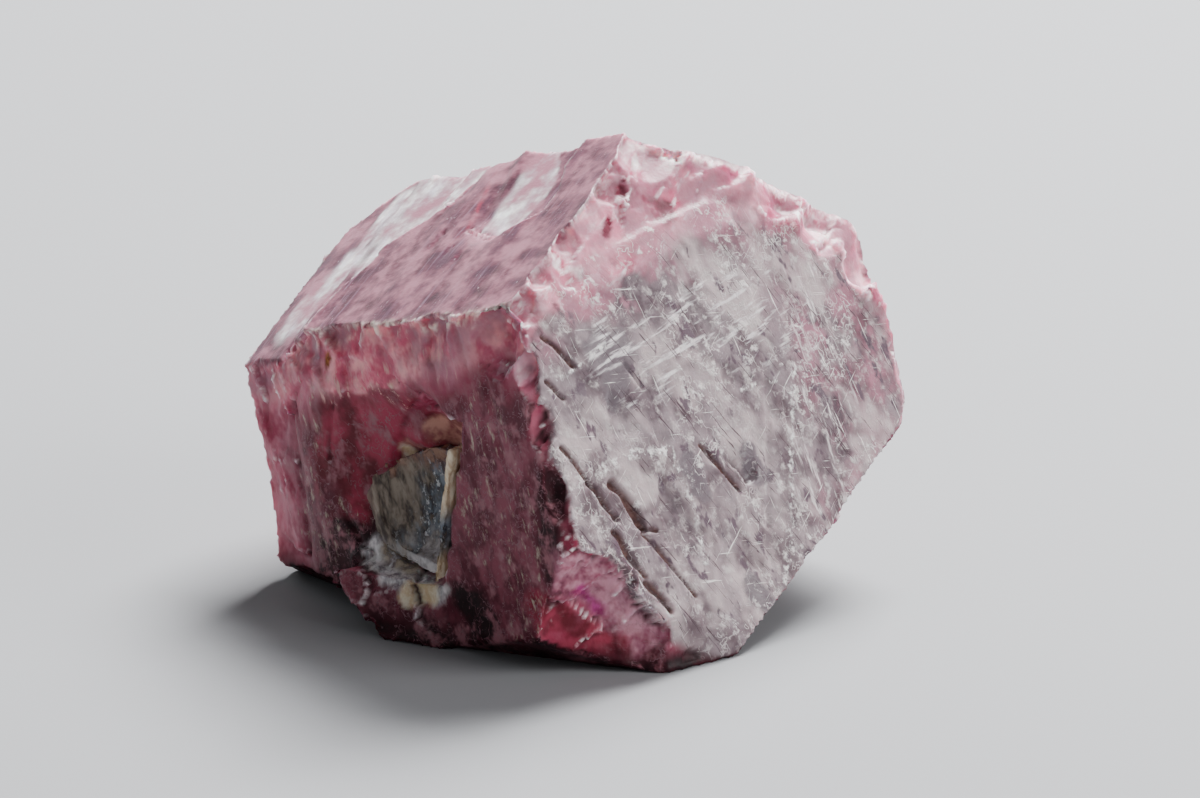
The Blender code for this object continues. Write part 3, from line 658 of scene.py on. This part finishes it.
# Colours lie over one another, each where its own marks are, and mottled from a darker to a paler
# tone. Grain is the mottling's size in millimetres along a turned X, Y and Z. The colour covers the
# stone where the mottling, folded back at the fold, lies between the two cover values, so a fold of
# half leaves thin veins. Last come how rough the surface is there and how far it stands up.
# The scratches on the end face and the lines on the top face are 0.06 to 0.07 mm wide, coarser
# than the real ones, which are too fine to show.
COLOURS = [
    # marks, grain, turn, fold, cover, darker, paler, rough, raised
    ("stone", (2.2, 2.2, 2.2), 0, 1.0, (-2, -1), "7a1a34", "9c3550", 0.36, 0.0),
    ("growth", (6.0, 6.0, 0.5), 0, 1.0, (0.3, 0.6), "5f2036", "9a5a6c", 0.42, 0.0),
    ("pink", (1.1, 0.7, 0.8), 0, 1.0, (0.10, 0.40), "b0365a", "e590a5", 0.34, 0.0),
    # Dark maroon of the front and the sides, partly painted shade.
    ("dark", (1.1, 0.7, 0.7), 0, 1.0, (-2, -1), "5a1a2c", "8c4656", 0.45, 0.0),
    ("crimson", (1.2, 0.9, 0.9), 0, 1.0, (-2, -1), "651424", "a43850", 0.45, 0.0),
    # Near black, partly painted shade under the crystal and by the floor.
    ("black", (0.8, 0.8, 0.8), 0, 1.0, (-2, -1), "1c0209", "3e0b19", 0.50, 0.0),
    ("band", (1.6, 0.9, 0.9), 110, 1.0, (-2, -1), "b94465", "ec9bb0", 0.34, 0.0),
    ("band", (0.9, 0.35, 0.5), 120, 1.0, (0.49, 0.62), "f8d4dc", "fff8fa", 0.45, 0.0),
    ("band", (1.5, 0.6, 0.8), 112, 1.0, (0.56, 0.70), "a83052", "cf6a86", 0.30, 0.0),
    ("facet_pale", (1.0, 1.0, 1.0), 0, 1.0, (-2, -1), "e08ea5", "f5c6d2", 0.32, 0.0),
    ("facet_deep", (1.0, 1.0, 1.0), 0, 1.0, (-2, -1), "9c3e5c", "c46a88", 0.28, 0.0),
    ("rose", (1.2, 1.2, 1.2), 0, 1.0, (-2, -1), "bd7488", "dba4b0", 0.35, 0.0),
    ("frosted", (0.7, 0.3, 0.4), 120, 1.0, (0.30, 0.55), "f2d4da", "fffafa", 0.50, 0.0),
    ("glow", (0.8, 0.6, 0.6), 0, 1.0, (0.10, 0.45), "d85c78", "ffb2b8", 0.35, 0.0),
    ("spot", (0.8, 0.6, 0.6), 0, 1.0, (0.20, 0.50), "8e4a60", "c68d9c", 0.35, 0.0),
    ("deep_red", (0.5, 0.3, 0.3), 0, 1.0, (-2, -1), "4c0a1a", "761c36", 0.25, 0.0),
    ("magenta", (0.4, 0.4, 0.4), 0, 1.0, (-2, -1), "861a54", "b04084", 0.30, 0.0),
    ("streaked", (0.9, 0.15, 0.15), 0, 1.0, (0.54, 0.66), "bc6c76", "e6b4ac", 0.45, 0.0),
    ("top", (8.0, 8.0, 1.1), 0, 1.0, (-2, -1), "381a27", "543042", 0.42, 0.0),
    ("top", (2.6, 0.8, 0.16), 120, 1.0, (0.45, 0.80), "48283a", "6a485c", 0.42, 0.0),
    ("top", (3.5, 3.5, 0.14), 0, 1.0, (0.54, 0.72), "5e3c4e", "886a7e", 0.40, 0.2),
    ("top", (0.9, 0.9, 0.12), 28, 1.0, (0.56, 0.74), "3f1e2c", "5a3244", 0.40, 0.0),
    ("top", (1.0, 0.06, 0.06), 97, 1.0, (0.66, 0.74), "c7a9b5", "e8d6dd", 0.40, 0.0),
    # Painted highlight behind the growth steps of the top face.
    ("painted_step_highlight", (1.8, 0.8, 0.3), 120, 1.0, (0.0, 0.15), "dcd6e0", "ffffff", 0.30, 0.0),
    ("skin", (1.3, 1.0, 1.0), 12, 1.0, (-2, -1), "5c4a50", "918186", 0.42, 0.0),
    ("rosy", (1.4, 1.0, 1.0), 0, 1.0, (0.30, 0.65), "834a5a", "a67080", 0.42, 0.0),
    ("dim", (0.7, 0.5, 0.5), 20, 1.0, (0.25, 0.50), "483840", "78676d", 0.30, 0.0),
    ("skin", (2.6, 1.7, 1.7), 20, 1.0, (0.42, 0.66), "8a787e", "b9a8a9", 0.48, 0.0),
    ("skin", (0.36, 0.30, 0.3), 25, 1.0, (0.50, 0.76), "978b8e", "bfb4b3", 0.55, 0.3),
    ("skin", (0.9, 0.5, 0.5), 15, 1.0, (0.58, 0.66), "4a363e", "62505a", 0.30, 0.0),
    ("glassy", (1.5, 1.5, 1.5), 0, 1.0, (-2, -1), "6c6066", "7f7478", 0.14, 0.0),
    ("veil_wide", (0.22, 1.5, 0.5), 12, 1.0, (0.52, 0.66), "bcb1b5", "e2dadb", 0.60, 0.0),
    ("veil_tall", (1.5, 0.20, 0.5), 8, 1.0, (0.54, 0.68), "c0b1b5", "dfd4d4", 0.60, 0.0),
    ("veined", (1.0, 0.8, 0.8), 20, 0.5, (0.487, 0.4985), "b3a7a9", "dcd4d2", 0.60, 0.3),
    ("veined", (0.28, 0.24, 0.3), 60, 1.0, (0.54, 0.70), "b5a9ab", "ded6d4", 0.60, 0.3),
    ("skin", (1.9, 0.07, 0.4), 15, 1.0, (0.65, 0.73), "c9c0c0", "efe8e5", 0.60, 0.4),
    ("skin", (1.6, 0.07, 0.4), 81.5, 1.0, (0.65, 0.73), "c9c0c0", "efe8e5", 0.60, 0.4),
    ("skin", (1.6, 0.07, 0.4), 129, 1.0, (0.66, 0.73), "c9c0c0", "efe8e5", 0.60, 0.4),
    ("skin", (1.4, 0.07, 0.4), 33, 1.0, (0.62, 0.68), "38262e", "544048", 0.40, -0.6),
    ("chalk", (0.22, 0.20, 0.3), 0, 1.0, (0.44, 0.62), "c8c2c2", "ece8e6", 0.70, 0.5),
    ("groove", (0.5, 0.2, 0.3), 33, 1.0, (0.20, 0.55), "3c2224", "75544f", 0.60, 0.0),
    ("dark", (0.8, 0.5, 0.5), 40, 1.0, (0.48, 0.68), "78424e", "9e6670", 0.45, 0.0),
    ("dark", (0.20, 0.16, 0.15), 14, 1.0, (0.60, 0.80), "6c4450", "97707c", 0.50, 0.0),
    ("dark", (0.9, 0.5, 0.5), 40, 0.5, (0.489, 0.499), "6c4450", "a88088", 0.50, 0.0),
    ("flecked", (0.42, 0.18, 0.16), 6, 1.0, (0.54, 0.76), "745c58", "bfae9f", 0.60, 0.5),
    ("lip", (0.35, 0.35, 0.3), 0, 1.0, (0.32, 0.55), "d9b3b0", "f3e2d6", 0.45, 0.0),
    # Frost on worn edges, with a painted highlight on the edges that face up.
    ("edge_frost_and_highlight", (0.35, 0.35, 0.35), 0, 1.0, (0.33, 0.66), "efd4da", "fff6f7", 0.50, 0.0),
    ("pale_floor", (0.6, 0.3, 0.3), 0, 1.0, (0.15, 0.42), "938a90", "f0ecec", 0.20, 0.0),
    ("crusted", (0.7, 0.22, 0.3), 0, 1.0, (0.30, 0.55), "5e4b42", "b3a493", 0.70, 0.5),
    ("brown", (0.6, 0.6, 0.6), 0, 1.0, (-2, -1), "8a4a4a", "c69080", 0.45, 0.0),
    ("cream", (0.4, 0.2, 0.3), 0, 1.0, (-2, -1), "d9c09a", "f2e6cf", 0.60, 0.0),
    ("iron", (0.2, 0.2, 0.2), 0, 1.0, (-2, -1), "7a3c12", "a8622a", 0.60, 0.0),
    # Painted shade in the crevices.
    ("painted_crevice_shade", (0.5, 0.5, 0.5), 0, 1.0, (0.2, 0.5), "33131b", "4c242c", 0.60, 0.0),
    # Painted shade: darkens the faces at the back.
    ("painted_back_shade", (4.0, 4.0, 0.20), 0, 1.0, (0.20, 0.70), "401426", "6a3048", 0.45, 0.0),
]


# Each row's mottling is moved by this much from the row before, so that no two rows are alike,
# and it goes from the darker tone to the paler one between the two tone values.
ROW_SHIFT = (3.7, 1.9, 2.3)
TONE_DARKER = 0.38
TONE_PALER = 0.64


def layered_colour(tree, lattice, colours):
    """Lays the colours over one another: the colour, the roughness and the height that result."""
    colour, rough, height = (0, 0, 0, 1), 0.5, 0.0
    for number, row in enumerate(colours):
        name, grain, turn, fold, cover, darker, paler, roughness, raised = row
        there = add(tree, "ShaderNodeAttribute", attribute_name=name)
        place = add(tree, "ShaderNodeMapping", {
            "Vector": lattice, "Location": [number * shift for shift in ROW_SHIFT],
            "Rotation": (0, 0, math.radians(turn)), "Scale": grain,
        }, vector_type="TEXTURE")
        mottling = add(tree, "ShaderNodeTexNoise", {
            "Vector": place.outputs["Vector"], "Scale": 1.0, "Detail": 3.0, "Roughness": 0.66})
        tone = add(tree, "ShaderNodeMapRange", {
            "Value": mottling.outputs[0], "From Min": TONE_DARKER, "From Max": TONE_PALER},
            interpolation_type="SMOOTHSTEP")
        here = add(tree, "ShaderNodeMix", {
            0: tone.outputs[0], 6: linear(darker), 7: linear(paler)}, data_type="RGBA")
        folded = add(tree, "ShaderNodeMath", {
            0: mottling.outputs[0], 1: fold}, operation="PINGPONG")
        covered = add(tree, "ShaderNodeMapRange", {
            "Value": folded.outputs[0], "From Min": cover[0], "From Max": cover[1]},
            interpolation_type="SMOOTHSTEP")
        share = add(tree, "ShaderNodeMath", {
            0: covered.outputs[0], 1: there.outputs["Fac"]}, operation="MULTIPLY").outputs[0]
        colour = add(tree, "ShaderNodeMix", {
            0: share, 6: colour, 7: here.outputs[2]}, data_type="RGBA").outputs[2]
        rough = add(tree, "ShaderNodeMix", {0: share, 2: rough, 3: roughness}).outputs[0]
        if raised:
            height = add(tree, "ShaderNodeMath", {
                0: share, 1: raised, 2: height}, operation="MULTIPLY_ADD").outputs[0]
    return colour, rough, height


# The finest etching is grit of about 0.07 mm, coarser than the real one, which is too fine to show.
GRITS_PER_MM = 14.0
colour, rough, height = layered_colour(tree, lattice, COLOURS)
grit = add(tree, "ShaderNodeTexNoise", {"Vector": lattice, "Scale": GRITS_PER_MM, "Detail": 3.0})
height = add(tree, "ShaderNodeMath", {
    0: grit.outputs[0], 1: 0.5, 2: height}, operation="MULTIPLY_ADD")
bump = add(tree, "ShaderNodeBump", {
    "Strength": 0.6, "Distance": 0.03 * MM, "Height": height.outputs[0]})
thin = add(tree, "ShaderNodeAttribute", attribute_name="pink")
through = add(tree, "ShaderNodeMath", {
    0: thin.outputs["Fac"], 1: 0.5, 2: 0.12}, operation="MULTIPLY_ADD")
for socket, value in {
    "Base Color": colour, "Roughness": rough, "Normal": bump.outputs["Normal"],
    "Subsurface Weight": through.outputs[0],
}.items():
    tree.links.new(value, shader.inputs[socket])
# Corundum bends light by 1.77. Its shine is kept low because the worn skin scatters most of it.
shader.inputs["IOR"].default_value = 1.77
shader.inputs["Specular IOR Level"].default_value = 0.12
shader.inputs["Subsurface Radius"].default_value = (0.9, 0.28, 0.42)
shader.inputs["Subsurface Scale"].default_value = 0.8 * MM
crystal.data.materials.clear()
crystal.data.materials.append(ruby)
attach(crystal, "root")
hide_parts("ruby_crystal")

# ---------------------------------------------------------------------------------------------
# The host rock in the hollow
# A crust of pale feldspar that the crystal grew against. It lines the lower part of the hollow
# and stands up its right wall as a thin cream seam.
# ---------------------------------------------------------------------------------------------

ROCK_GRAIN = 0.05
WRINKLE_DEPTH = 0.10
# The blocks that break the crust's rim off are as big as this and set at the hollow's mouth.
CUTTER_SIZE = 3.5
CUTTER_DEPTH = 3
HOLLOW_MIDDLE = 5


def ragged_cutter(normal, distance, ragged, seed):
    """A block whose near side is a rough broken surface, for a crust that ends unevenly."""
    normal = Vector(normal)
    bm = bmesh.new()
    bmesh.ops.create_grid(bm, x_segments=70, y_segments=70, size=CUTTER_SIZE)
    bmesh.ops.rotate(bm, verts=bm.verts, matrix=normal.to_track_quat("Z", "Y").to_matrix())
    away = normal * distance + Vector((0, HOLLOW_MIDDLE, 0)) - normal * normal.y * HOLLOW_MIDDLE
    bmesh.ops.translate(bm, verts=bm.verts, vec=away)
    places = np.array([vertex.co for vertex in bm.verts])
    for vertex, shift in zip(bm.verts, ragged * layered(places, 1.1, seed, 5, 0.6)):
        vertex.co += normal * shift
    grown = bmesh.ops.extrude_face_region(bm, geom=bm.faces[:])
    raised = [item for item in grown["geom"] if isinstance(item, bmesh.types.BMVert)]
    bmesh.ops.translate(bm, verts=raised, vec=normal * CUTTER_DEPTH)
    bmesh.ops.transform(bm, verts=bm.verts, matrix=Matrix.Translation(MIDDLE) @ LYING.to_4x4())
    bmesh.ops.recalc_face_normals(bm, faces=bm.faces)
    mesh = bpy.data.meshes.new("ragged_cutter")
    bm.to_mesh(mesh)
    bm.free()
    return mesh


def cut_ragged(bm, cutters):
    """A closed surface with rough-sided blocks taken off it."""
    mesh = bpy.data.meshes.new("uncut")
    bm.to_mesh(mesh)
    bm.free()
    body = bpy.data.objects.new("uncut", mesh)
    blocks = bpy.data.collections.new("rough_blocks")
    for cutter in cutters:
        blocks.objects.link(bpy.data.objects.new("rough_block", cutter))
    bpy.context.scene.collection.objects.link(body)
    bpy.context.scene.collection.children.link(blocks)
    step = body.modifiers.new("cut", "BOOLEAN")
    step.operand_type = "COLLECTION"
    step.collection = blocks
    step.solver = "EXACT"
    done = bmesh.new()
    done.from_object(body, bpy.context.evaluated_depsgraph_get())
    for item in [body, *blocks.objects]:
        bpy.data.objects.remove(item, do_unlink=True)
    bpy.data.collections.remove(blocks)
    return done


crust_solid = cut_ragged(solid_in_mm("matrix_seam"), [
    ragged_cutter(direction(0, -50.6), 1.25, 0.30, 121),
    ragged_cutter(direction(0), -0.15, 0.25, 123),
])
crust = evenly_meshed(crust_solid, "host_rock_lining", ROCK_GRAIN)
rock_world = read_vectors(crust.data.vertices, "co")
rock_facing = vertex_normals(crust.data)
rock_at = seen_from_crystal(rock_world)
wrinkles = layered(rock_at, (1.3, 0.35, 0.35), 61, 5, 0.6)
moved = rock_world - rock_facing * (WRINKLE_DEPTH * smooth(-1.0, 1.0, wrinkles))[:, None]
crust.data.vertices.foreach_set("co", moved.astype(np.float32).ravel())
crust.data.transform(Matrix.Scale(MM, 4))
for polygon in crust.data.polygons:
    polygon.use_smooth = True

# The seam, the low end and the left and upper parts of the crust have colours of their own.
seam_part = smooth(-0.45, -0.3, from_seam_wall(rock_at))
low = smooth(-1.9, -2.7, rock_at[:, 0] + 0.25 * wrinkles)
left = smooth(-1.0, -1.8, rock_at[:, 2] - 0.3 * rock_at[:, 0] - 0.3 + 0.4 * wrinkles)
upper = smooth(-0.7, -0.2, rock_at[:, 0] + 0.3 * wrinkles) * (1 - seam_part)
far_left = smooth(-2.0, -2.5, rock_at[:, 2] - 0.2 * rock_at[:, 0]) * (1 - low)
rock_marks = {
    "stone": np.ones(len(rock_at)),
    "stained": upper + 0.5 * far_left,
    "blue": (1 - left) * (1 - low) * (1 - 0.6 * seam_part * smooth(-1.4, -0.9, rock_at[:, 0])),
    "white": low * (1 - seam_part),
    "cream": seam_part * (smooth(-1.9, -1.3, rock_at[:, 0]) + smooth(-2.4, -2.9, rock_at[:, 0])),
}
for name, values in rock_marks.items():
    keep(crust, name, values)

# Weathered feldspar, dull and chalky: tan on the left, blue-grey in the middle, white at its foot.
rock = bpy.data.materials.new("weathered_feldspar")
rock.use_nodes = True
tree = rock.node_tree
shader = tree.nodes["Principled BSDF"]
lattice = add(tree, "ShaderNodeMapping", {
    "Vector": add(tree, "ShaderNodeTexCoord").outputs["Object"],
    "Scale": (1 / MM, 1 / MM, 1 / MM),
    "Rotation": into_crystal.to_euler(),
    "Location": -(into_crystal @ Vector(MIDDLE)),
}).outputs["Vector"]
colour, rough, height = layered_colour(tree, lattice, [
    ("stone", (0.9, 0.25, 0.3), 0, 1.0, (-2, -1), "4a3e38", "9f9284", 0.70, 0.5),
    ("blue", (0.7, 0.25, 0.3), 0, 1.0, (0.32, 0.52), "262c3b", "87919b", 0.45, 0.3),
    ("blue", (0.25, 0.10, 0.1), 0, 1.0, (0.58, 0.66), "aab0b4", "dfe2e4", 0.50, 0.3),
    ("stained", (0.6, 0.3, 0.3), 0, 1.0, (0.30, 0.60), "6e3c32", "a37e6c", 0.50, 0.0),
    ("white", (0.5, 0.3, 0.3), 0, 1.0, (0.30, 0.50), "8f8a8e", "cfcaca", 0.25, 0.0),
    ("cream", (0.6, 0.15, 0.2), 0, 1.0, (-2, -1), "cdb08c", "f4e6cc", 0.60, 0.5),
])
bump = add(tree, "ShaderNodeBump", {"Strength": 0.7, "Distance": 0.04 * MM, "Height": height})
for socket, value in {
    "Base Color": colour, "Roughness": rough, "Normal": bump.outputs["Normal"],
}.items():
    tree.links.new(value, shader.inputs[socket])
crust.data.materials.clear()
crust.data.materials.append(rock)
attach(crust, "root")
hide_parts("matrix_seam")

# ---------------------------------------------------------------------------------------------
# The floor, the light and the camera
# A plain pale table. A soft window light stands above and behind, a weaker one at the right in
# front, and a faint one low at the back, which the top face mirrors.
# ---------------------------------------------------------------------------------------------

FLOOR_HALF_WIDTH = 0.6
bm = bmesh.new()
bmesh.ops.create_grid(bm, x_segments=1, y_segments=1, size=FLOOR_HALF_WIDTH)
floor_mesh = bpy.data.meshes.new("floor")
bm.to_mesh(floor_mesh)
bm.free()
floor = bpy.data.objects.new("floor", floor_mesh)
bpy.context.scene.collection.objects.link(floor)

# Matt painted board.
table = bpy.data.materials.new("pale_table")
table.use_nodes = True
shader = table.node_tree.nodes["Principled BSDF"]
shader.inputs["Base Color"].default_value = linear("8f9093")
shader.inputs["Roughness"].default_value = 0.8
floor_mesh.materials.append(table)

sky = bpy.data.worlds.new("studio")
sky.use_nodes = True
background = sky.node_tree.nodes["Background"]
background.inputs["Color"].default_value = linear("dfe2e6")
background.inputs["Strength"].default_value = 0.30
bpy.context.scene.world = sky

# The lights are turned towards this height over the floor's middle, in metres.
AIM_HEIGHT = 0.006


def soft_light(name, place, size, power):
    """A square light, in metres and watts, turned towards the crystal's middle."""
    lamp = bpy.data.lights.new(name, "AREA")
    lamp.size = size
    lamp.energy = power
    made = bpy.data.objects.new(name, lamp)
    made.location = place
    towards = Vector((0, 0, AIM_HEIGHT)) - Vector(place)
    made.rotation_euler = towards.to_track_quat("-Z", "Y").to_euler()
    bpy.context.scene.collection.objects.link(made)


soft_light("window", (0.06, 0.115, 0.165), 0.10, 2.1)
soft_light("side", (0.20, -0.08, 0.12), 0.14, 0.48)
soft_light("backdrop", (-0.09, 0.19, 0.075), 0.12, 0.06)

CAMERA_FROM_MIDDLE = (0.702, -143.478, 46.884)
CAMERA_DOWN = 18
camera_data = bpy.data.cameras.new("camera")
camera_data.lens = 180.0
camera_data.sensor_width = 36.0
camera_data.clip_start = 0.001
camera = bpy.data.objects.new("camera", camera_data)
camera.location = (Vector(MIDDLE) + Vector(CAMERA_FROM_MIDDLE)) * MM
camera.rotation_euler = (math.radians(90 - CAMERA_DOWN), 0, 0)
bpy.context.scene.collection.objects.link(camera)
bpy.context.scene.camera = camera
